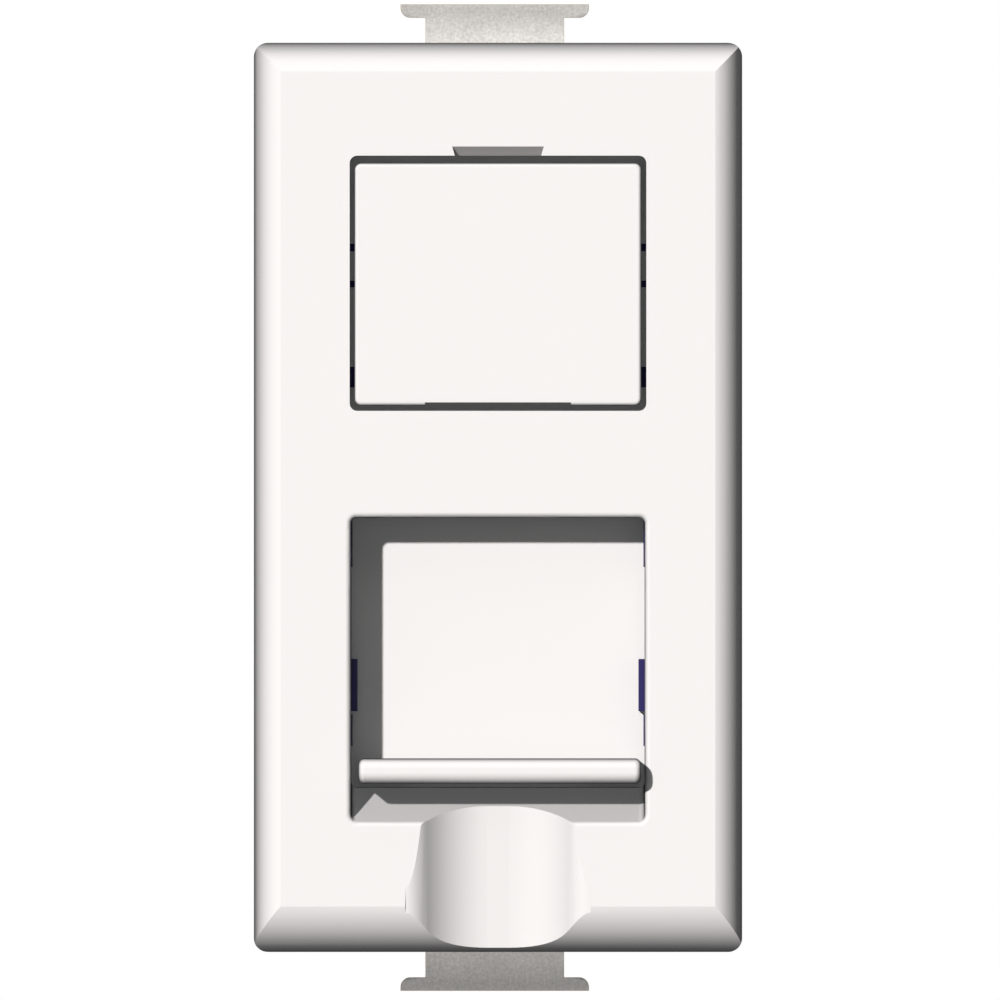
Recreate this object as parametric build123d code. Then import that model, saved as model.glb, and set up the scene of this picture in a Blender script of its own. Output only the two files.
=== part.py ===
from build123d import *
from math import cos, radians, sin
import os

# Ethernet socket module for a wall box, one module wide.
# Millimetres. +Z up, the front faces -Y, +X is right seen from the front.
# The origin is the centre of the seat plane, the back of the front cover's skirt.

# Front cover
cover_width = 22.4
cover_height = 41.72
cover_depth = 8.5
cover_corner = 0.65
face_wall = 2.35
skirt_wall = 1.2
side_roll = 1.24
top_roll = 1.33
bottom_roll = 2.11
roll_start_angle = 11.0
window_edge_round = 0.25
rib_thickness = 1.0
rib_inset = 1.6
rib_end_gap = 1.0

# Upper window and its flush label cover
label_window_width = 13.6
label_window_height = 11.7
label_window_drop = 11.04
label_window_corner = 0.35
label_ledge_thickness = 0.5
label_ledge_width = 0.75
label_side_gap = 0.23
label_top_gap = 0.35
label_bottom_gap = 0.25
label_face_step = 0.05
label_edge_round = 0.16
label_slot_width = 6.7
label_slot_height = 0.14
label_leg_width = 0.9
label_leg_height = 1.6
label_leg_reach = 0.55
label_leg_spacing = 6.0
pry_notch_width = 4.2
pry_notch_flare = 0.12
pry_notch_height = 0.42
pry_notch_depth = 0.47
# Each slot in the ledge: its bottom and its height, above the window's middle
ledge_slots = [(1.48, 0.35), (-0.17, 0.3), (-4.77, 0.95)]

# Lower window, in front of the socket
socket_window_width = 13.45
socket_window_top = -0.94
socket_window_bottom = -14.94
floor_chamfer_rise = 1.62
socket_window_corner = 0.25

# Finger scoop below the lower window
scoop_flat_half = 0.5
scoop_hollow_width = 2.75
scoop_edge_width = 1.0
scoop_edge_angle = 40.0
scoop_tilt = 3.5
scoop_overrun = 1.0

# Dust shutter, which slides up behind the face
shutter_thickness = 1.0
shutter_side_cover = 0.42
shutter_top_cover = 0.74
shutter_corner = 0.3
shutter_travel = 10.7
shutter_stop_drop = 0.03
shutter_stop_width = 8.0
shutter_stop_height = 1.2
shutter_stop_gap = 0.15
shutter_seat_gap = 0.05
shutter_face_gap = 0.25
lip_side_gap = 0.085
lip_end_gap = 0.255
lip_offset = 0.08
lip_rise = 0.2
lip_height = 1.15
lip_stand = 1.1
lip_top_round = 0.42
lip_bottom_round = 0.5
lip_end_round = 0.26
slide_gap = 0.1

# Inner carrier, with the shutter's guides
carrier_thickness = 1.4
carrier_side_gap = 0.5
carrier_end_gap = 1.06
carrier_round = 0.8
guide_thickness = 0.8
guide_below = 0.6
guide_above = 1.5
lug_thickness = 1.0
lug_pocket_gap = 0.12
lug_reach = 0.28
# Each lug: its top below the window's top, its length, and how far it stands into the window
guide_lugs = [(0.12, 2.13, 0.05), (6.47, 2.39, lug_reach), (9.01, 1.45, 0.05)]

# Rear housing
housing_gap = 0.15
housing_wall = 1.2
housing_side_step = 0.55
housing_end_step = 1.1
housing_rear_wall = 1.4
housing_round = 0.6
relief_depth = 0.4
relief_margin = 2.2
relief_rib = 2.4
relief_corner = 0.8
snap_spacing = 24.0
snap_length = 3.0
snap_width = 1.2
snap_reach = 0.45
snap_place = -1.9

# Steel snap leaves
leaf_thickness = 0.5
leaf_leg_place = 1.15
leaf_leg_half_width = 2.6
leaf_leg_depth = 1.4
leaf_gap = 0.35
leaf_reach = 5.2
leaf_bend = 3.3
leaf_leg_bend = 0.5
leaf_neck_width = 6.4
leaf_head_width = 8.7
leaf_ear_height = 0.62
leaf_ear_round = 0.45
leaf_stand = 1.91
leaf_offset = -0.15
leaf_slot_gap = 0.12

# Socket body
jack_width = 13.4
jack_height = 13.4
jack_depth = 15.0
jack_corner = 0.4
jack_shutter_gap = 0.2
jack_opening_gap = 0.15
plug_width = 11.8
plug_height = 6.8
plug_depth = 12.1
plug_roof = 2.7
latch_width = 6.2
latch_height = 1.7
latch_key_width = 3.4
latch_key_height = 0.7

# Spring contacts and their comb
contact_count = 8
contact_pitch = 1.02
contact_width = 0.46
contact_thickness = 0.36
contact_roof_gap = 1.3
contact_front = 1.95
contact_drop = 3.4
contact_run = 6.2
contact_bend = 0.45
contact_slot_width = 0.7
contact_slot_overlap = 1.49
contact_slot_gap = 0.3
contact_hole_gap = 0.05
comb_half_width = 4.6
comb_height = 1.8
comb_gap = 0.1
comb_length = 10.1

# Circuit board
board_thickness = 1.2
board_side_gap = 0.1
board_above = 8.4
board_below = 7.8
board_gap = 0.1
board_corner = 0.5
board_hole_gap = 0.15

# Termination block, its blades and the wire cap
block_side_inset = 0.1
block_height = 12.4
block_depth = 7.8
block_gap = 0.15
block_round = 0.3
wire_slot_width = 1.1
wire_slot_depth = 5.1
wire_slot_length = 3.4
wire_slot_pitch = 3.9
wire_slots_per_row = 4
blade_width = 2.2
blade_thickness = 0.4
blade_length = 6.6
blade_slot = 0.36
blade_slot_depth = 3.6
blade_tip_chamfer = 0.6
blade_row_offset = 4.4
blade_gap = 0.1
blade_pin_width = 0.5
cap_wall = 1.0
cap_gap = 0.2
cap_overlap = 2.8
cap_roof = 1.2
cap_round = 0.5
cap_notch_width = 1.4
cap_notch_depth = 1.9
cap_grip_count = 3
cap_grip_pitch = 1.5
cap_grip_round = 0.3

# Places that follow from the sizes above
face_y = -cover_depth
face_back_y = face_y + face_wall
shutter_front_y = face_back_y + shutter_face_gap
shutter_back_y = shutter_front_y + shutter_thickness
carrier_front_y = shutter_back_y + slide_gap
carrier_back_y = carrier_front_y + carrier_thickness
label_window_middle = cover_height / 2 - label_window_drop
skirt_inside_x = cover_width / 2 - skirt_wall
skirt_inside_z = cover_height / 2 - skirt_wall
window_floor = socket_window_bottom + floor_chamfer_rise
shutter_half_width = socket_window_width / 2 + shutter_side_cover
shutter_top = socket_window_top + shutter_top_cover
shutter_stop = window_floor - shutter_stop_drop
shutter_bottom = shutter_stop + shutter_seat_gap
lip_half_length = socket_window_width / 2 - lip_end_gap
lip_web_half_length = socket_window_width / 2 - lug_reach - lip_side_gap
lip_bottom = window_floor + lip_rise
scoop_middle = (socket_window_bottom - cover_height / 2) / 2
guide_bottom = window_floor - guide_below
guide_top = shutter_top + shutter_travel + guide_above
guide_inside_x = shutter_half_width + slide_gap
guide_outside_x = guide_inside_x + guide_thickness
lug_back_y = shutter_front_y - slide_gap
lug_front_y = lug_back_y - lug_thickness
carrier_half_width = skirt_inside_x - carrier_side_gap
carrier_half_height = skirt_inside_z - carrier_end_gap
flange_half_width = skirt_inside_x - housing_gap
flange_half_height = skirt_inside_z - housing_gap
neck_half_width = flange_half_width - housing_side_step
neck_half_height = flange_half_height - housing_end_step
jack_middle = (socket_window_top + window_floor) / 2
jack_front_y = shutter_back_y + jack_shutter_gap
jack_back_y = jack_front_y + jack_depth
board_front_y = jack_back_y + board_gap
board_back_y = board_front_y + board_thickness
housing_wall_y = board_back_y + board_gap
housing_back_y = housing_wall_y + housing_rear_wall
board_half_width = neck_half_width - housing_wall - board_side_gap
block_half_width = board_half_width - block_side_inset
block_back_y = board_back_y + block_depth
plug_top = jack_middle + jack_height / 2 - plug_roof
plug_bottom = plug_top - plug_height
contact_height = plug_top + contact_roof_gap
contact_xs = [(i - (contact_count - 1) / 2) * contact_pitch for i in range(contact_count)]
wire_xs = [(i - (wire_slots_per_row - 1) / 2) * wire_slot_pitch for i in range(wire_slots_per_row)]
leaf_tip = cover_height / 2 + leaf_stand


def slab(outline, front, back):
    """Extrudes an outline drawn in X and Z from one Y to another."""
    return extrude(Plane.XZ.offset(-back) * outline, amount=back - front)


def area(left, right, bottom, top, corner=0.0):
    """Gives a rectangle by its edges in X and Z, with rounded corners if asked."""
    width = right - left
    height = top - bottom
    shape = RectangleRounded(width, height, corner) if corner else Rectangle(width, height)
    return Pos((left + right) / 2, (bottom + top) / 2) * shape


def roll_places(edge, inward, width):
    """Gives three points of a roll, across by depth: at the side wall, in its middle and at the face."""
    start = radians(roll_start_angle)
    radius = width / (1 - sin(start))
    places = []
    for tilt in (radians(90), (radians(90) + start) / 2, start):
        across = edge + inward * radius * (1 - sin(tilt))
        places.append((across, face_y + radius * (cos(start) - cos(tilt))))
    return places


def rolled_section(half_size, low_roll, high_roll, depth_first=False):
    """Gives a section of the cover whose face breaks into a roll at each end, across by depth."""
    low = roll_places(-half_size, 1, low_roll)
    high = roll_places(half_size, -1, high_roll)
    feet = [high[0], (half_size, 0), (-half_size, 0), low[0]]
    if depth_first:
        low, high, feet = [[(depth, across) for across, depth in places] for places in (low, high, feet)]
    edges = ThreePointArc(*low) + Line(low[2], high[2]) + ThreePointArc(*high) + Polyline(*feet)
    return make_face(edges)


def cover_outside():
    """Makes the cover's outer form, where the face rolls into its four sides."""
    half_width = cover_width / 2
    half_height = cover_height / 2
    side = rolled_section(half_height, bottom_roll, top_roll, depth_first=True)
    plan = rolled_section(half_width, side_roll, side_roll)
    outline = RectangleRounded(cover_width, cover_height, cover_corner)
    body = extrude(Plane.YZ * side, amount=half_width, both=True)
    body &= extrude(plan, amount=half_height, both=True)
    body &= slab(outline, face_y, 0)
    return body


def make_scoop():
    """Makes the finger scoop's form: a flat floor, two hollow sides and two rounded shoulders."""
    angle = radians(scoop_edge_angle)
    steps = [(scoop_edge_width, -1), (scoop_hollow_width, 1)]
    half = scoop_flat_half + scoop_hollow_width + scoop_edge_width
    places = [(half, 0)]
    for width, bend in steps:
        radius = width / sin(angle)
        middle = radius * sin(angle / 2)
        fall = radius * (1 - cos(angle / 2))
        whole_fall = radius * (1 - cos(angle))
        x, y = places[-1]
        if bend < 0:
            places.append((x - middle, y + fall))
        else:
            places.append((x - width + middle, y + whole_fall - fall))
        places.append((x - width, y + whole_fall))
    left = [(-x, y) for x, y in places]
    edges = ThreePointArc(*places[:3]) + ThreePointArc(*places[2:]) + Line(places[-1], left[-1])
    edges += ThreePointArc(*left[:3]) + ThreePointArc(*left[2:])
    edges += Polyline(left[0], (-half, -scoop_overrun), (half, -scoop_overrun), places[0])
    reach = window_floor - scoop_middle + scoop_overrun / 2
    scoop = extrude(make_face(edges), amount=reach, both=True)
    return Pos(0, face_y, scoop_middle) * Rot(X=scoop_tilt) * scoop


def make_front_cover():
    outside = cover_outside()
    hollow = RectangleRounded(2 * skirt_inside_x, 2 * skirt_inside_z, cover_corner)
    cover = outside - slab(hollow, face_back_y, 0)

    # Ledge behind the face that is the shutter's lower stop
    half = shutter_stop_width / 2
    cover += slab(area(-half, half, shutter_stop - shutter_stop_height, shutter_stop),
                  face_back_y, shutter_back_y - shutter_stop_gap)

    # Ribs that the inner carrier is pressed against
    rib_half = carrier_half_width - rib_end_gap
    for side in (-1, 1):
        middle = side * (carrier_half_height - rib_inset)
        cover += slab(area(-rib_half, rib_half, middle - rib_thickness / 2, middle + rib_thickness / 2),
                      face_back_y, carrier_front_y)

    # Upper window with its ledge, and the notch for prying the label cover out
    middle = label_window_middle
    ledge_y = face_back_y - label_ledge_thickness
    window = RectangleRounded(label_window_width, label_window_height, label_window_corner)
    cover -= slab(Pos(0, middle) * window, face_y, ledge_y)
    inside = RectangleRounded(label_window_width - 2 * label_ledge_width,
                              label_window_height - 2 * label_ledge_width, label_window_corner)
    cover -= slab(Pos(0, middle) * inside, ledge_y, face_back_y)
    for rise, height in ledge_slots:
        cover -= slab(area(-label_window_width / 2, label_window_width / 2,
                           middle + rise, middle + rise + height), ledge_y, face_back_y)
    window_top = middle + label_window_height / 2
    half = pry_notch_width / 2
    notch = Polygon((-half + pry_notch_flare, window_top), (half - pry_notch_flare, window_top),
                    (half, window_top + pry_notch_height), (-half, window_top + pry_notch_height),
                    align=None)
    ramp = Polygon((face_y, window_top), (face_y + pry_notch_depth, window_top),
                   (face_y, window_top + pry_notch_height), align=None)
    cover -= slab(notch, face_y, face_back_y) & extrude(Plane.YZ * ramp, amount=half, both=True)

    # Lower window, whose floor rises in a deep chamfer
    half = socket_window_width / 2
    window_middle = (socket_window_top + socket_window_bottom) / 2
    window_half = (socket_window_top - socket_window_bottom) / 2
    front = area(-half, half, socket_window_bottom, socket_window_top, socket_window_corner)
    back = area(-half, half, window_floor, socket_window_top, socket_window_corner)
    cover -= loft([Plane.XZ.offset(-face_y) * front, Plane.XZ.offset(-face_back_y) * back])
    rim = cover.edges().filter_by_position(Axis.Y, face_y - 0.001, face_y + 0.001)
    rim = rim.filter_by(lambda e: abs(e.center().X) < half + window_edge_round
                        and abs(e.center().Z - window_middle) < window_half + window_edge_round)
    cover = fillet(rim, window_edge_round)

    # Pockets behind the face for the carrier's lugs
    for drop, length, proud in guide_lugs:
        top = socket_window_top - drop
        for side in (-1, 1):
            edges = sorted([side * (half - lug_reach), side * (guide_outside_x + lug_pocket_gap)])
            cover -= slab(area(edges[0], edges[1], top - length - lug_pocket_gap, top + lug_pocket_gap),
                          lug_front_y - lug_pocket_gap, face_back_y)

    # Finger scoop, through the face's lower roll
    cover -= make_scoop()

    # Blind pockets in the skirt for the rear housing's snap noses
    pocket_half = snap_length / 2 + housing_gap
    for height in (-snap_spacing / 2, snap_spacing / 2):
        cover -= slab(area(-skirt_inside_x - snap_reach, skirt_inside_x + snap_reach,
                           height - pocket_half, height + pocket_half),
                      snap_place - snap_width / 2 - housing_gap,
                      snap_place + snap_width / 2 + housing_gap)
    return cover


def make_label_cover():
    width = label_window_width - 2 * label_side_gap
    bottom = label_window_middle - label_window_height / 2 + label_bottom_gap
    top = label_window_middle + label_window_height / 2 - label_top_gap
    seat_y = face_back_y - label_ledge_thickness
    plate = slab(area(-width / 2, width / 2, bottom, top, label_window_corner - label_face_step),
                 face_y + label_face_step, seat_y)
    plate = fillet(plate.faces().sort_by(Axis.Y)[0].edges(), label_edge_round)
    plate -= slab(area(-label_slot_width / 2, label_slot_width / 2, bottom, bottom + label_slot_height),
                  face_y, seat_y)
    leg_x = label_window_width / 2 - label_ledge_width - label_side_gap - label_leg_width / 2
    for x in (-leg_x, leg_x):
        for z in (-label_leg_spacing / 2, label_leg_spacing / 2):
            place = Pos(x, label_window_middle + z)
            plate += slab(place * Rectangle(label_leg_width, label_leg_height),
                          seat_y - label_face_step, seat_y + label_leg_reach)
    return plate


def make_shutter():
    half = shutter_half_width
    panel = slab(area(-half, half, shutter_bottom, shutter_top, shutter_corner), shutter_front_y, shutter_back_y)
    lip = slab(area(lip_offset - lip_half_length, lip_offset + lip_half_length,
                    lip_bottom, lip_bottom + lip_height),
               face_y - lip_stand, lug_front_y - slide_gap)
    edges = lip.faces().sort_by(Axis.Y)[0].edges().sort_by(Axis.Z)
    lip = fillet(edges[0], lip_bottom_round)
    lip = fillet(lip.edges().filter_by(Axis.X).group_by(Axis.Y)[0].sort_by(Axis.Z)[-1], lip_top_round)
    for end in (-1, 1):
        side = lip.faces().sort_by(Axis.X)[0 if end < 0 else -1]
        rim = side.edges().filter_by(lambda e: e.center().Y < lug_front_y - 2 * slide_gap)
        lip = fillet(rim, lip_end_round)

    # Narrower web, so that the lip passes the carrier's lugs
    half = lip_web_half_length
    web = slab(area(-half, half, lip_bottom, lip_bottom + lip_height),
               lug_front_y - slide_gap, shutter_front_y + shutter_thickness / 2)
    return panel + web + lip


def make_inner_carrier():
    plate = slab(RectangleRounded(2 * carrier_half_width, 2 * carrier_half_height, carrier_round),
                 carrier_front_y, carrier_back_y)
    half_width = jack_width / 2 + jack_opening_gap
    half_height = jack_height / 2 + jack_opening_gap
    hole = RectangleRounded(2 * half_width, 2 * half_height, jack_corner)
    plate -= slab(Pos(0, jack_middle) * hole, carrier_front_y, carrier_back_y)

    # Guides on both sides of the shutter, with lugs that hook over its edges
    for side in (-1, 1):
        edges = sorted([side * guide_inside_x, side * guide_outside_x])
        plate += slab(area(edges[0], edges[1], guide_bottom, guide_top),
                      face_back_y + slide_gap, carrier_back_y)
        for drop, length, proud in guide_lugs:
            top = socket_window_top - drop
            post = slab(area(edges[0], edges[1], top - length, top), lug_front_y, carrier_front_y)
            tip = sorted([side * (socket_window_width / 2 - proud), side * guide_outside_x])
            hook = slab(area(tip[0], tip[1], top - length, top), lug_front_y, lug_back_y)
            plate += post + hook
    return plate


def make_rear_housing():
    flange = RectangleRounded(2 * flange_half_width, 2 * flange_half_height, housing_round)
    neck = RectangleRounded(2 * neck_half_width, 2 * neck_half_height, housing_round)
    body = slab(flange, carrier_back_y, 0) + slab(neck, 0, housing_back_y)
    inside = RectangleRounded(2 * (neck_half_width - housing_wall),
                              2 * (neck_half_height - housing_wall), housing_round)
    body -= slab(inside, carrier_back_y, housing_wall_y)
    body = fillet(body.faces().sort_by(Axis.Y)[-1].outer_wire().edges(), housing_round)

    # Opening in the rear wall for the termination block
    half_width = block_half_width + block_gap
    half_height = block_height / 2 + block_gap
    body -= slab(Pos(0, jack_middle) * Rectangle(2 * half_width, 2 * half_height),
                 board_back_y, housing_back_y)

    # Moulded reliefs in both sides and in the upper part of the rear wall
    relief_half = (housing_back_y - 2 * relief_margin) / 2
    for side in (-1, 1):
        for end in (-1, 1):
            low = relief_rib / 2
            high = neck_half_height - relief_margin
            panel = Pos(relief_margin + relief_half, end * (low + high) / 2) * RectangleRounded(
                2 * relief_half, high - low, relief_corner)
            start = side * (neck_half_width - relief_depth)
            body -= extrude(Plane.YZ.offset(start) * panel, amount=side * relief_depth)
    rear_low = jack_middle + block_height / 2 + relief_margin
    rear_high = neck_half_height - relief_margin
    rear_half = neck_half_width - relief_margin
    body -= slab(area(-rear_half, rear_half, rear_low, rear_high, relief_corner),
                 housing_back_y - relief_depth, housing_back_y)

    # Snap noses for the skirt's pockets
    for height in (-snap_spacing / 2, snap_spacing / 2):
        for side in (-1, 1):
            root = side * flange_half_width
            tip = side * (skirt_inside_x + snap_reach - housing_gap)
            ramp = Polygon((root, snap_place - snap_width / 2), (tip, snap_place + snap_width / 6),
                           (tip, snap_place + snap_width / 2), (root, snap_place + snap_width / 2),
                           align=None)
            body += Pos(0, 0, height) * extrude(ramp, amount=snap_length / 2, both=True)

    # Slots for the steel leaves
    for side in (-1, 1):
        middle = side * (neck_half_height - housing_wall / 2)
        half = leaf_leg_half_width + leaf_slot_gap
        slot = area(leaf_offset - half, leaf_offset + half,
                    middle - housing_wall, middle + housing_wall)
        reach = leaf_thickness / 2 + leaf_slot_gap
        body -= slab(slot, leaf_leg_place - reach, leaf_leg_place + reach)
    return body


def make_leaf():
    """Makes the upper steel leaf: a leg in the housing's slot, a bend and a T head."""
    flat_z = neck_half_height + leaf_gap + leaf_thickness / 2
    leg_z = neck_half_height - leaf_leg_depth
    path = FilletPolyline((leaf_leg_place, leg_z), (leaf_leg_place, flat_z), (leaf_reach, flat_z),
                          (leaf_reach, leaf_tip), radius=[leaf_leg_bend, leaf_bend])
    sheet = extrude(Plane.YZ * trace(path, leaf_thickness), amount=leaf_head_width, both=True)
    neck_bottom = flat_z - leaf_thickness
    ears = area(-leaf_head_width / 2, leaf_head_width / 2, leaf_tip - leaf_ear_height, leaf_tip)
    ears = fillet(ears.vertices().sort_by(Axis.Y)[:2], leaf_ear_round)
    outline = ears + area(-leaf_neck_width / 2, leaf_neck_width / 2, neck_bottom, leaf_tip)
    outline += area(-leaf_leg_half_width, leaf_leg_half_width, leg_z, leaf_tip)
    return sheet & slab(Pos(leaf_offset, 0) * outline, 0, leaf_reach + leaf_thickness)


def plug_outline():
    """Gives the plug cavity's outline: the plug, its latch slot and the latch key."""
    middle = (plug_top + plug_bottom) / 2
    outline = Pos(0, middle) * Rectangle(plug_width, plug_height)
    outline += area(-latch_width / 2, latch_width / 2, plug_bottom - latch_height, middle)
    key_bottom = plug_bottom - latch_height - latch_key_height
    outline += area(-latch_key_width / 2, latch_key_width / 2, key_bottom, middle)
    return outline


def make_jack_housing():
    outline = RectangleRounded(jack_width, jack_height, jack_corner)
    body = slab(Pos(0, jack_middle) * outline, jack_front_y, jack_back_y)
    body -= slab(plug_outline(), jack_front_y, jack_front_y + plug_depth)

    # Pocket for the comb, open to the rear, and slots for the spring contacts in front of it
    half = comb_half_width + comb_gap
    low = contact_height - comb_height / 2 - comb_gap
    high = contact_height + comb_height / 2 + comb_gap
    comb_front_y = jack_back_y - comb_length - comb_gap
    body -= slab(area(-half, half, low, high), comb_front_y, jack_back_y)
    slot_front_y = jack_front_y + contact_front - contact_thickness - contact_slot_gap
    slot = area(-contact_slot_width / 2, contact_slot_width / 2,
                plug_top - contact_slot_gap, contact_height + contact_thickness / 2 + contact_slot_gap)
    for x in contact_xs:
        body -= slab(Pos(x, 0) * slot, slot_front_y, comb_front_y + contact_slot_overlap)
    return body


def make_contact_carrier():
    low = contact_height - comb_height / 2
    high = contact_height + comb_height / 2
    front_y = jack_back_y - comb_length
    comb = slab(area(-comb_half_width, comb_half_width, low, high), front_y, jack_back_y)
    hole = Rectangle(contact_width + 2 * contact_hole_gap, contact_thickness + 2 * contact_hole_gap)
    for x in contact_xs:
        comb -= slab(Pos(x, contact_height) * hole, front_y, jack_back_y)
    return comb


def make_contact(x):
    """Makes one spring strip, folded back from the front of the socket into its cavity."""
    front_y = jack_front_y + contact_front
    path = FilletPolyline((board_back_y - board_gap, contact_height), (front_y, contact_height),
                          (front_y + contact_run, contact_height - contact_drop),
                          radius=contact_bend)
    strip = Plane.YZ.offset(x) * trace(path, contact_thickness)
    return extrude(strip, amount=contact_width / 2, both=True)


def blade_places():
    """Gives the X and Z of each wire terminal, lower row first."""
    return [(x, jack_middle + side * blade_row_offset) for side in (-1, 1) for x in wire_xs]


def make_circuit_board():
    board = slab(area(-board_half_width, board_half_width, jack_middle - board_below,
                      jack_middle + board_above, board_corner),
                 board_front_y, board_back_y)
    hole = Circle(contact_width / 2 + board_hole_gap)
    for x in contact_xs:
        board -= slab(Pos(x, contact_height) * hole, board_front_y, board_back_y)
    pin_hole = Circle(blade_pin_width / 2 + 2 * board_hole_gap)
    for x, z in blade_places():
        board -= slab(Pos(x, z) * pin_hole, board_front_y, board_back_y)
    return board


def make_termination_block():
    outline = RectangleRounded(2 * block_half_width, block_height, block_round)
    block = slab(Pos(0, jack_middle) * outline, board_back_y, block_back_y)
    for x, z in blade_places():
        side = 1 if z > jack_middle else -1
        edge = jack_middle + side * block_height / 2
        lane = sorted([edge, edge - side * wire_slot_length])
        block -= slab(area(x - wire_slot_width / 2, x + wire_slot_width / 2, lane[0], lane[1]),
                      block_back_y - wire_slot_depth, block_back_y)
        pocket = Rectangle(blade_width + 2 * blade_gap, blade_thickness + 2 * blade_gap)
        block -= slab(Pos(x, z) * pocket, board_back_y, block_back_y)
    return block


def make_blade(x, z):
    """Makes one forked terminal blade with its board pin."""
    front_y = board_back_y + blade_gap
    back_y = front_y + blade_length
    half = blade_width / 2
    shoulder_y = back_y - blade_tip_chamfer
    fork = Polygon((x - half, front_y), (x + half, front_y), (x + half, shoulder_y),
                   (x + blade_slot, back_y), (x - blade_slot, back_y), (x - half, shoulder_y),
                   align=None)
    fork -= Pos(x, back_y - blade_slot_depth / 2) * Rectangle(blade_slot, blade_slot_depth)
    pin_y = board_front_y + blade_gap
    fork += Pos(x, (pin_y + front_y) / 2) * Rectangle(blade_pin_width, front_y - pin_y)
    return Pos(0, 0, z) * extrude(fork, amount=blade_thickness / 2, both=True)


def make_wire_cap():
    half_width = block_half_width + cap_gap + cap_wall
    half_height = block_height / 2 + cap_gap + cap_wall
    front_y = block_back_y - cap_overlap
    back_y = block_back_y + cap_gap + cap_roof
    shell = slab(Pos(0, jack_middle) * RectangleRounded(2 * half_width, 2 * half_height, cap_round),
                 front_y, back_y)
    shell = fillet(shell.faces().sort_by(Axis.Y)[-1].edges(), cap_round)
    shell -= slab(Pos(0, jack_middle) * Rectangle(2 * (half_width - cap_wall),
                                                  2 * (half_height - cap_wall)),
                  front_y, back_y - cap_roof)
    for side in (-1, 1):
        for i in range(cap_grip_count):
            y = back_y - cap_round - (i + 0.5) * cap_grip_pitch / 2
            ridge = Pos(side * half_width, y) * Circle(cap_grip_round)
            shell += Pos(0, 0, jack_middle) * extrude(ridge, amount=half_height / 2, both=True)
    for x in wire_xs:
        notch = Pos(x, jack_middle) * Rectangle(cap_notch_width, 2 * half_height)
        shell -= slab(notch, front_y, front_y + cap_notch_depth)
    return shell


def build_parts():
    parts = {
        "front_cover": make_front_cover(),
        "label_cover": make_label_cover(),
        "shutter": make_shutter(),
        "inner_carrier": make_inner_carrier(),
        "rear_housing": make_rear_housing(),
        "clip_top": make_leaf(),
        "jack_housing": make_jack_housing(),
        "contact_carrier": make_contact_carrier(),
        "circuit_board": make_circuit_board(),
        "termination_block": make_termination_block(),
        "wire_cap": make_wire_cap(),
    }
    parts["clip_bottom"] = mirror(parts["clip_top"], Plane.XY)
    for number, x in enumerate(contact_xs, 1):
        parts[f"contact_{number}"] = make_contact(x)
    for number, (x, z) in enumerate(blade_places(), 1):
        parts[f"idc_blade_{number}"] = make_blade(x, z)
    return parts


os.makedirs("parts", exist_ok=True)
for name, part in build_parts().items():
    export_step(part, f"parts/{name}.step")
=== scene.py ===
"""Ethernet socket module for a wall box, dressed for a studio picture.

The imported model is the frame. Its solids keep their shapes and get their finishes here, and
the two steel leaves are modelled over their solids with the edges that the punch broke.
"""
import math

import bmesh
import bpy
from bpy.props import FloatProperty, FloatVectorProperty, PointerProperty
from bpy.types import Operator, Panel, PropertyGroup
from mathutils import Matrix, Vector


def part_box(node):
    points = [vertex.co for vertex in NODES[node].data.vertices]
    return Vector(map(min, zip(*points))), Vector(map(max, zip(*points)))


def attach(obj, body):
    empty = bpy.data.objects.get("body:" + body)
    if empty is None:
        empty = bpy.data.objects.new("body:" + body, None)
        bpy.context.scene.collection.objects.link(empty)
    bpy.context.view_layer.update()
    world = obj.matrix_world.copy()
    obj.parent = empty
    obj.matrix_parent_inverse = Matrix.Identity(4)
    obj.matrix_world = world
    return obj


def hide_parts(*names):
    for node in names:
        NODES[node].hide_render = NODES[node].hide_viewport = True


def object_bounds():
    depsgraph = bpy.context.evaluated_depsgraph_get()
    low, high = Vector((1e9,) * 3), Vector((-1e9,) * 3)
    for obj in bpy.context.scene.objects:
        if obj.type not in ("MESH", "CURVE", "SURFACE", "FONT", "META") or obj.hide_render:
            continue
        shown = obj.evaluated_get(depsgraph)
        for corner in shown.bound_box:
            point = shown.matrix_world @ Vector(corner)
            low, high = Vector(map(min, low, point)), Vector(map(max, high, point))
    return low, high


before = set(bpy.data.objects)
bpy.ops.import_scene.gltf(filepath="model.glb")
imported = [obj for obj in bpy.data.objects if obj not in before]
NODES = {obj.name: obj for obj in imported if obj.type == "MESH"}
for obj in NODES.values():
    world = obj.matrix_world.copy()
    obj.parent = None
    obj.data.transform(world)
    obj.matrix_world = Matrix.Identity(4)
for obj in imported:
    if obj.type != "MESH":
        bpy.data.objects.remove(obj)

bl_info = {
    "name": "Ethernet Socket Module",
    "version": (1, 0, 0),
    "blender": (4, 5, 0),
    "location": "3D Viewport > Sidebar > Socket",
    "description": "Finishes and steel leaves of a wall-box ethernet socket module",
    "category": "Object",
}

MM = 0.001
CAD_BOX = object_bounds()
CONTACTS = [name for name in sorted(NODES) if name.startswith("contact_") and name[-1].isdigit()]
BLADES = [name for name in sorted(NODES) if name.startswith("idc_blade_")]


def colour(label, words, value):
    """A colour that the panel shows."""
    return FloatVectorProperty(name=label, description=words, default=value, min=0.0, max=1.0,
                               size=3, subtype="COLOR")


def length(label, words, millimetres):
    """A size in metres that the panel shows."""
    return FloatProperty(name=label, description=words, default=millimetres * MM, min=0.0,
                         precision=5, unit="LENGTH")


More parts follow.
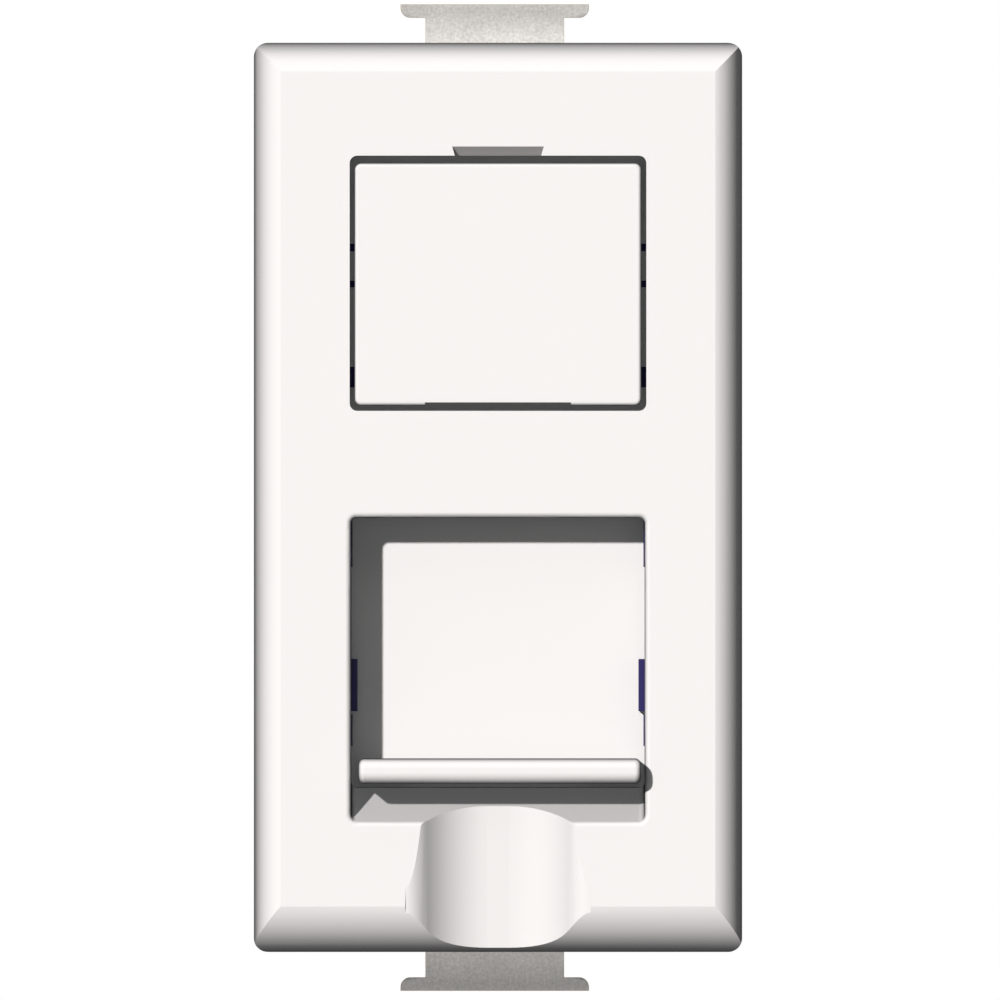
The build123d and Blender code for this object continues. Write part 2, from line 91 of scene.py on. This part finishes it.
class SocketFinishes(PropertyGroup):
    """Colours and grain of the module's materials."""
    white: colour("White", "White of the cover, the shutter and the label cover", (0.885, 0.845, 0.825))
    blue: colour("Blue", "Dark blue of the inner carrier", (0.033, 0.026, 0.115))
    grey: colour("Grey", "Warm grey of the rear housing and the wire cap", (0.60, 0.595, 0.58))
    black: colour("Black", "Black of the socket body and the comb", (0.018, 0.018, 0.02))
    block: colour("Block", "Ivory of the termination block", (0.74, 0.72, 0.66))
    laminate: colour("Laminate", "Green solder mask of the circuit board", (0.012, 0.10, 0.045))
    steel: colour("Steel", "Rolled face of the spring leaves", (0.52, 0.50, 0.475))
    sheared: colour("Sheared edge", "Punched edge of the spring leaves", (0.36, 0.30, 0.20))
    gold: colour("Gold", "Plating of the spring contacts", (0.86, 0.62, 0.25))
    tin: colour("Tin", "Plating of the wire blades", (0.70, 0.70, 0.68))
    grain: length("Moulding grain", "Grain size of the spark-eroded mould texture", 0.09)
    mottle: length("Steel mottle", "Size of the dull spots on the rolled steel", 0.13)
    leaf_edge: length("Leaf edge break", "Small bevel left by punching the leaves", 0.07)


class SocketStudio(PropertyGroup):
    """Camera, floor and light."""
    focal: FloatProperty(name="Lens", description="Focal length on a 36 mm sensor, in millimetres",
                         default=1500.0, min=50.0)
    frame_width: length("Frame width", "Width of the picture at the front face", 45.81)
    frame_x: length("Frame centre across", "Middle of the picture across, from the centre line", 0.092)
    frame_z: FloatProperty(name="Frame centre up", description="Middle of the picture in height",
                           default=-0.115 * MM, precision=6, unit="LENGTH")
    key: FloatProperty(name="Key light", description="Strength of the hard light from the upper left",
                       default=8.75)
    key_spread: FloatProperty(name="Key spread", description="Apparent size of the key light",
                              default=math.radians(2.2), unit="ROTATION")
    fill: FloatProperty(name="Fill lights", description="Strength of the lights that fill the shadows",
                        default=1.0)
    fill_colour: colour("Fill colour", "Tint of the soft lights", (0.93, 0.98, 1.0))
    rear: FloatProperty(name="Rear lights", description="Strength of the lights behind the object",
                        default=2.2)
    room: colour("Room", "Soft light of the room", (0.06, 0.061, 0.062))
    mirrored: FloatProperty(name="Mirrored room", description="Brightness of the room in gloss and metal",
                            default=1.0)
    floor_drop: length("Floor drop", "Floor below the middle of the module", 45.0)
    floor_size: length("Floor size", "Side of the floor", 500.0)


# What gloss and metal mirror: brightness by height, from straight below to straight above
MIRRORED_ROOM = ((0.0, 0.90), (0.22, 0.75), (0.5, 0.71), (0.78, 0.99), (1.0, 1.25))

# The hard light that draws the shadows: where it shines from
KEY_FROM = (-0.598, -1.0, 0.478)

# Soft lights that cast no shadows: where each shines from, and its strength
FILL_SPREAD = math.radians(30.0)
FILL_LIGHTS = {
    "Upper fill": ((0.0, -0.6, 0.8), 0.70),
    "Overhead fill": ((0.0, -0.15, 1.0), 1.3),
    "Lower fill": ((0.0, -0.6, -0.8), 0.18),
    "Left fill": ((-0.8, -0.6, 0.0), 0.10),
    "Right fill": ((0.8, -0.6, 0.0), 0.10),
}

# Lights behind the object: where each shines from, and its share of the strength
REAR_SPREAD = math.radians(25.0)
REAR_LIGHTS = (
    ((-0.75, 0.6, 0.15), 1.0),
    ((0.75, 0.6, 0.15), 0.8),
    ((0.0, 0.2, -1.0), 1.05),
    ((0.5, 1.0, 0.6), 2.0),
)

# A thin clear skin on every plastic finish, which greys at a shallow angle
SKIN = {"Coat Weight": 1.0, "Coat IOR": 1.02, "Coat Roughness": 0.3, "Coat Tint": (0.43, 0.432, 0.435, 1.0)}

# Turns of the surface that count as flat, as smooth and as an edge the punch broke, in degrees
FLAT_TURN = 0.6
SMOOTH_TURN = 32.0
PUNCHED_TURN = 50.0

# Height of a spring leaf's wide head, and how far a face leans before it counts as cut
HEAD_HEIGHT = 0.75 * MM
CUT_LEAN = 0.3

# Two tones of the paper on the floor
PAPER = ((0.58, 0.58, 0.575, 1.0), (0.62, 0.62, 0.615, 1.0))


class Value:
    """A socket's value. Arithmetic on it adds Math nodes to its material."""

    def __init__(self, finish, socket):
        self.finish = finish
        self.socket = socket

    def maths(self, operation, *values):
        return self.finish.add("ShaderNodeMath", {"operation": operation}, dict(enumerate(values)))

    def __add__(self, other):
        return self.maths("ADD", self, other)

    __radd__ = __add__

    def __sub__(self, other):
        return self.maths("SUBTRACT", self, other)

    def __mul__(self, other):
        return self.maths("MULTIPLY", self, other)

    __rmul__ = __mul__

    def above(self, edge, blend):
        """0 below the edge and 1 above it, smooth over the blend."""
        return self.finish.add("ShaderNodeMapRange", {"interpolation_type": "SMOOTHSTEP"},
                               {"Value": self, "From Min": edge - blend, "From Max": edge + blend})


class Finish:
    """A material under construction, with one Principled shader."""

    def __init__(self, name, constants, skin=True):
        self.material = bpy.data.materials.new(name)
        self.material.use_nodes = True
        self.tree = self.material.node_tree
        self.tree.nodes.clear()
        self.output = self.tree.nodes.new("ShaderNodeOutputMaterial")
        self.shader = self.tree.nodes.new("ShaderNodeBsdfPrincipled")
        self.tree.links.new(self.shader.outputs["BSDF"], self.output.inputs["Surface"])
        for socket, value in {**(SKIN if skin else {}), **constants}.items():
            self.shader.inputs[socket].default_value = value

    def add(self, kind, settings=None, inputs=None, out=0):
        """A node: its settings first, then the values or links of its sockets."""
        node = self.tree.nodes.new(kind)
        for name, value in (settings or {}).items():
            setattr(node, name, value)
        for name, value in (inputs or {}).items():
            if isinstance(value, Value):
                self.tree.links.new(value.socket, node.inputs[name])
            else:
                node.inputs[name].default_value = value
        return Value(self, node.outputs[out])

    def place(self):
        """Object coordinates."""
        return self.add("ShaderNodeTexCoord", out="Object")

    def stretched(self, scale):
        """Object coordinates, scaled by axis."""
        return self.add("ShaderNodeMapping", None, {"Vector": self.place(), "Scale": scale})

    def noise(self, size, detail=2.0, vector=None):
        """Noise with features of a size in metres, about 0.5."""
        return self.add("ShaderNodeTexNoise", None,
                        {"Vector": vector or self.place(), "Scale": 1.0 / size, "Detail": detail}, "Fac")

    def mix(self, factor, first, second):
        """A colour between two colours."""
        return self.add("ShaderNodeMix", {"data_type": "RGBA"}, {0: factor, 6: first, 7: second}, 2)

    def feed(self, **values):
        """Links values to the shader: base, roughness or height, with its depth in metres."""
        for name, socket in (("base", "Base Color"), ("roughness", "Roughness")):
            if name in values:
                self.tree.links.new(values[name].socket, self.shader.inputs[socket])
        if "height" in values:
            bump = self.add("ShaderNodeBump", None, {
                "Height": values["height"], "Distance": values["depth"], "Strength": 1.0}, "Normal")
            self.tree.links.new(bump.socket, self.shader.inputs["Normal"])
        return self.material


def rgba(shade, gain=1.0):
    """A shade as four numbers, brighter or darker by the gain."""
    return (*(min(part * gain, 1.0) for part in shade), 1.0)


def moulded(name, shade, grain, roughness, depth, tone=0.03):
    """Injection-moulded plastic: mould grain, faint flow clouds and uneven gloss."""
    finish = Finish(name, {"IOR": 1.5})
    clouds = finish.noise(6.0 * MM, 3.0)
    fine = finish.noise(grain, 2.0)
    base = finish.mix(clouds, rgba(shade, 1.0 - tone), rgba(shade, 1.0 + tone))
    gloss = roughness + 0.10 * (fine - 0.5) + 0.06 * (clouds - 0.5)
    return finish.feed(base=base, roughness=gloss, height=fine, depth=depth)


def white_plastic(colours):
    """Satin white plastic."""
    return moulded("moulded_white", colours.white, colours.grain, 0.42, 1.0e-6, tone=0.004)


def board_laminate(colours):
    """Green solder mask over a glass weave."""
    finish = Finish("board_green", {"IOR": 1.5, "Coat Roughness": 0.12})
    place = finish.place()
    parts = [finish.add("ShaderNodeSeparateXYZ", None, {"Vector": place}, axis) for axis in ("X", "Z")]
    weave = parts[0].maths("SINE", parts[0] * 9000.0) * parts[1].maths("SINE", parts[1] * 9000.0)
    base = finish.mix(weave * 0.5 + 0.5, rgba(colours.laminate, 0.85), rgba(colours.laminate, 1.15))
    return finish.feed(base=base, roughness=finish.noise(0.4 * MM) * 0.2 + 0.3, height=weave, depth=1.5e-6)


def rolled_steel(colours):
    """Dull spring steel with a fine mottle and faint rolling lines along the strip."""
    finish = Finish("rolled_steel", {"IOR": 2.2, "Metallic": 0.75}, skin=False)
    lines = finish.noise(1.0, 2.0, finish.stretched((12000.0, 900.0, 900.0)))
    spots = finish.noise(colours.mottle, 3.0)
    clouds = finish.noise(1.6 * MM, 2.0)
    tone = spots.above(0.5, 0.36) * 0.5 + clouds * 0.3 + lines * 0.2
    base = finish.mix(tone, rgba(colours.steel, 0.62), rgba(colours.steel, 1.38))
    return finish.feed(base=base, roughness=spots * 0.12 + 0.4, height=spots, depth=0.6e-6)


def sheared_steel(colours):
    """Punched edge: dull, brownish, with drag lines."""
    finish = Finish("sheared_steel", {"IOR": 2.2, "Metallic": 0.6}, skin=False)
    drag = finish.noise(0.06 * MM, 3.0)
    base = finish.mix(drag, rgba(colours.sheared, 0.75), rgba(colours.sheared, 1.25))
    return finish.feed(base=base, roughness=drag * 0.2 + 0.5, height=drag, depth=2.0e-6)


def plated(name, shade, roughness):
    """Thin metal plating with faint polishing streaks."""
    finish = Finish(name, {"Metallic": 1.0})
    streaks = finish.noise(1.0, 2.0, finish.stretched((9000.0, 1400.0, 1400.0)))
    base = finish.mix(streaks, rgba(shade, 0.93), rgba(shade, 1.07))
    return finish.feed(base=base, roughness=streaks * 0.12 + roughness, height=streaks, depth=0.4e-6)


def dress(node, material):
    """Puts a finish on a CAD node through its material slots."""
    for place in NODES[node].material_slots:
        place.material = material


def merged_copy(node):
    """A bmesh of a CAD node with its loose triangles joined and its flats made whole."""
    shape = bmesh.new()
    shape.from_mesh(NODES[node].data)
    bmesh.ops.remove_doubles(shape, verts=shape.verts, dist=1.0e-6)
    bmesh.ops.dissolve_limit(shape, angle_limit=math.radians(FLAT_TURN), verts=shape.verts, edges=shape.edges)
    return shape


def sharp_edges(shape, degrees):
    """Edges where the surface turns by more than an angle."""
    return [edge for edge in shape.edges
            if len(edge.link_faces) == 2 and edge.calc_face_angle(0.0) > math.radians(degrees)]


def make_piece(shape, name, materials):
    """A mesh object from a bmesh, smooth but for its sharp edges."""
    for face in shape.faces:
        face.smooth = True
    for edge in sharp_edges(shape, SMOOTH_TURN):
        edge.smooth = False
    mesh = bpy.data.meshes.new(name)
    shape.to_mesh(mesh)
    shape.free()
    piece = bpy.data.objects.new(name, mesh)
    bpy.context.scene.collection.objects.link(piece)
    for material in materials:
        mesh.materials.append(material)
    weighted = piece.modifiers.new("Even normals", "WEIGHTED_NORMAL")
    weighted.keep_sharp = True
    weighted.weight = 90
    return piece


class SOCKET_OT_white_mouldings(Operator):
    """Finishes the front cover, the label cover and the shutter"""
    bl_idname = "socket.white_mouldings"
    bl_label = "White Mouldings"

    def execute(self, context):
        white = white_plastic(context.scene.socket_finishes)
        for node in ("front_cover", "label_cover", "shutter"):
            dress(node, white)
        return {"FINISHED"}


class SOCKET_OT_inner_mouldings(Operator):
    """Finishes the carrier, the rear housing, the wire cap, the socket body and the block"""
    bl_idname = "socket.inner_mouldings"
    bl_label = "Inner Mouldings"

    def execute(self, context):
        colours = context.scene.socket_finishes
        dress("inner_carrier", moulded("moulded_blue", colours.blue, colours.grain, 0.38, 1.0e-6, tone=0.05))
        grey = moulded("moulded_grey", colours.grey, colours.grain, 0.48, 2.0e-6)
        for node in ("rear_housing", "wire_cap"):
            dress(node, grey)
        black = moulded("moulded_black", colours.black, colours.grain, 0.36, 1.5e-6, tone=0.1)
        for node in ("jack_housing", "contact_carrier"):
            dress(node, black)
        dress("termination_block", moulded("moulded_ivory", colours.block, colours.grain, 0.45, 1.5e-6))
        return {"FINISHED"}


class SOCKET_OT_metal_parts(Operator):
    """Plates the spring contacts and the wire blades"""
    bl_idname = "socket.metal_parts"
    bl_label = "Contacts and Blades"

    def execute(self, context):
        colours = context.scene.socket_finishes
        gold = plated("gold_plating", colours.gold, 0.18)
        tin = plated("tin_plating", colours.tin, 0.28)
        for node in CONTACTS:
            dress(node, gold)
        for node in BLADES:
            dress(node, tin)
        return {"FINISHED"}


class SOCKET_OT_circuit_board(Operator):
    """Finishes the circuit board"""
    bl_idname = "socket.circuit_board"
    bl_label = "Circuit Board"

    def execute(self, context):
        dress("circuit_board", board_laminate(context.scene.socket_finishes))
        return {"FINISHED"}


class SOCKET_OT_spring_leaves(Operator):
    """Models the two stamped steel leaves with their punched edges"""
    bl_idname = "socket.spring_leaves"
    bl_label = "Spring Leaves"

    def execute(self, context):
        colours = context.scene.socket_finishes
        steel = rolled_steel(colours)
        sheared = sheared_steel(colours)
        for node in ("clip_top", "clip_bottom"):
            shape = merged_copy(node)
            bmesh.ops.bevel(shape, geom=sharp_edges(shape, PUNCHED_TURN), offset=colours.leaf_edge,
                            offset_type="OFFSET", segments=2, profile=0.5, affect="EDGES",
                            clamp_overlap=True, material=-1)
            for face in shape.faces:
                face.material_index = 1 if self.is_sheared(face, node) else 0
            piece = make_piece(shape, node.replace("clip", "spring_leaf"), [steel, sheared])
            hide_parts(node)
            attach(piece, node)
        return {"FINISHED"}

    def is_sheared(self, face, node):
        """True where the punch cut the strip: its sides, its free end and the edge breaks there."""
        lowest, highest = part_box(node)
        upward = 1.0 if node == "clip_top" else -1.0
        tip = highest.z if upward > 0.0 else lowest.z
        centre = face.calc_center_median()
        in_head = abs(centre.z - tip) < HEAD_HEIGHT
        return abs(face.normal.x) > CUT_LEAN or (in_head and abs(face.normal.z) > CUT_LEAN)


class SOCKET_OT_stage(Operator):
    """Places the camera, the floor and the studio lights"""
    bl_idname = "socket.stage"
    bl_label = "Camera and Studio"

    def execute(self, context):
        studio = context.scene.socket_studio
        self.camera(context.scene, studio)
        self.floor(context.scene, studio)
        key = self.sun(context.scene, "Key light", KEY_FROM, studio.key, studio.key_spread)
        key.visible_glossy = False
        for name, (toward, strength) in FILL_LIGHTS.items():
            light = self.sun(context.scene, name, toward, strength * studio.fill, FILL_SPREAD)
            light.visible_glossy = False
            light.data.use_shadow = False
            light.data.color = studio.fill_colour
        for toward, share in REAR_LIGHTS:
            light = self.sun(context.scene, "Rear light", toward, studio.rear * share, REAR_SPREAD)
            light.visible_glossy = False
        self.room(context.scene, studio)
        context.scene.view_settings.view_transform = "Standard"
        return {"FINISHED"}

    def camera(self, scene, studio):
        """A long lens straight in front of the face."""
        data = bpy.data.cameras.new("Camera")
        data.sensor_width = 36.0
        data.lens = studio.focal
        data.clip_end = 50.0
        camera = bpy.data.objects.new("Camera", data)
        scene.collection.objects.link(camera)
        distance = studio.frame_width * studio.focal / data.sensor_width
        face = CAD_BOX[0][1]
        camera.location = (studio.frame_x, face - distance, studio.frame_z)
        camera.rotation_euler = (math.radians(90.0), 0.0, 0.0)
        scene.camera = camera

    def floor(self, scene, studio):
        """A plain pale floor below the picture."""
        shape = bmesh.new()
        bmesh.ops.create_grid(shape, x_segments=1, y_segments=1, size=studio.floor_size / 2.0)
        bmesh.ops.translate(shape, verts=shape.verts, vec=(0.0, 0.0, -studio.floor_drop))
        mesh = bpy.data.meshes.new("Floor")
        shape.to_mesh(mesh)
        shape.free()
        floor = bpy.data.objects.new("Floor", mesh)
        scene.collection.objects.link(floor)
        floor.visible_diffuse = False
        floor.visible_glossy = False
        floor.visible_shadow = False
        pale = Finish("floor_paper", {"Roughness": 0.9}, skin=False)
        speck = pale.noise(1.2 * MM, 2.0)
        mesh.materials.append(pale.feed(base=pale.mix(speck, *PAPER)))

    def sun(self, scene, name, toward, strength, spread):
        """A distant light that shines from a direction."""
        data = bpy.data.lights.new(name, "SUN")
        data.energy = strength
        data.angle = spread
        light = bpy.data.objects.new(name, data)
        light.rotation_euler = Vector(toward).to_track_quat("Z", "Y").to_euler()
        scene.collection.objects.link(light)
        return light

    def room(self, scene, studio):
        """White behind the object, a dim even room that lights it, and a brighter one in its gloss."""
        world = bpy.data.worlds.new("Room")
        scene.world = world
        world.use_nodes = True
        tree = world.node_tree
        tree.nodes.clear()
        white, soft, mirrored = (tree.nodes.new("ShaderNodeBackground") for _ in range(3))
        white.inputs["Color"].default_value = (1.0, 1.0, 1.0, 1.0)
        soft.inputs["Color"].default_value = (*studio.room, 1.0)
        mirrored.inputs["Strength"].default_value = studio.mirrored
        direction = tree.nodes.new("ShaderNodeTexCoord")
        parts = tree.nodes.new("ShaderNodeSeparateXYZ")
        height = tree.nodes.new("ShaderNodeMapRange")
        height.inputs["From Min"].default_value = -1.0
        shade = tree.nodes.new("ShaderNodeValToRGB")
        stops = shade.color_ramp.elements
        while len(stops) < len(MIRRORED_ROOM):
            stops.new(1.0)
        for stop, (place, level) in zip(stops, MIRRORED_ROOM):
            stop.position = place
            stop.color = (level, level, level, 1.0)
        ray = tree.nodes.new("ShaderNodeLightPath")
        lit = tree.nodes.new("ShaderNodeMixShader")
        seen = tree.nodes.new("ShaderNodeMixShader")
        output = tree.nodes.new("ShaderNodeOutputWorld")
        for start, end in (
            (direction.outputs["Generated"], parts.inputs["Vector"]),
            (parts.outputs["Z"], height.inputs["Value"]),
            (height.outputs["Result"], shade.inputs["Fac"]),
            (shade.outputs["Color"], mirrored.inputs["Color"]),
            (ray.outputs["Is Glossy Ray"], lit.inputs["Fac"]),
            (soft.outputs["Background"], lit.inputs[1]),
            (mirrored.outputs["Background"], lit.inputs[2]),
            (ray.outputs["Is Camera Ray"], seen.inputs["Fac"]),
            (lit.outputs["Shader"], seen.inputs[1]),
            (white.outputs["Background"], seen.inputs[2]),
            (seen.outputs["Shader"], output.inputs["Surface"]),
        ):
            tree.links.new(start, end)


STEPS = (
    SOCKET_OT_white_mouldings,
    SOCKET_OT_inner_mouldings,
    SOCKET_OT_metal_parts,
    SOCKET_OT_circuit_board,
    SOCKET_OT_spring_leaves,
    SOCKET_OT_stage,
)


class SOCKET_PT_module(Panel):
    """Lists the finishes, the studio and the steps"""
    bl_label = "Ethernet Socket Module"
    bl_idname = "SOCKET_PT_module"
    bl_space_type = "VIEW_3D"
    bl_region_type = "UI"
    bl_category = "Socket"

    def draw(self, context):
        for group in (context.scene.socket_finishes, context.scene.socket_studio):
            box = self.layout.box()
            for name in group.__annotations__:
                box.prop(group, name)
        for step in STEPS:
            self.layout.operator(step.bl_idname)


CLASSES = (SocketFinishes, SocketStudio, *STEPS, SOCKET_PT_module)


def register():
    for cls in CLASSES:
        bpy.utils.register_class(cls)
    bpy.types.Scene.socket_finishes = PointerProperty(type=SocketFinishes)
    bpy.types.Scene.socket_studio = PointerProperty(type=SocketStudio)


def unregister():
    del bpy.types.Scene.socket_studio
    del bpy.types.Scene.socket_finishes
    for cls in reversed(CLASSES):
        bpy.utils.unregister_class(cls)


def main():
    register()
    for step in STEPS:
        group, name = step.bl_idname.split(".")
        getattr(getattr(bpy.ops, group), name)()
    bpy.context.view_layer.update()


if __name__ == "__main__":
    main()
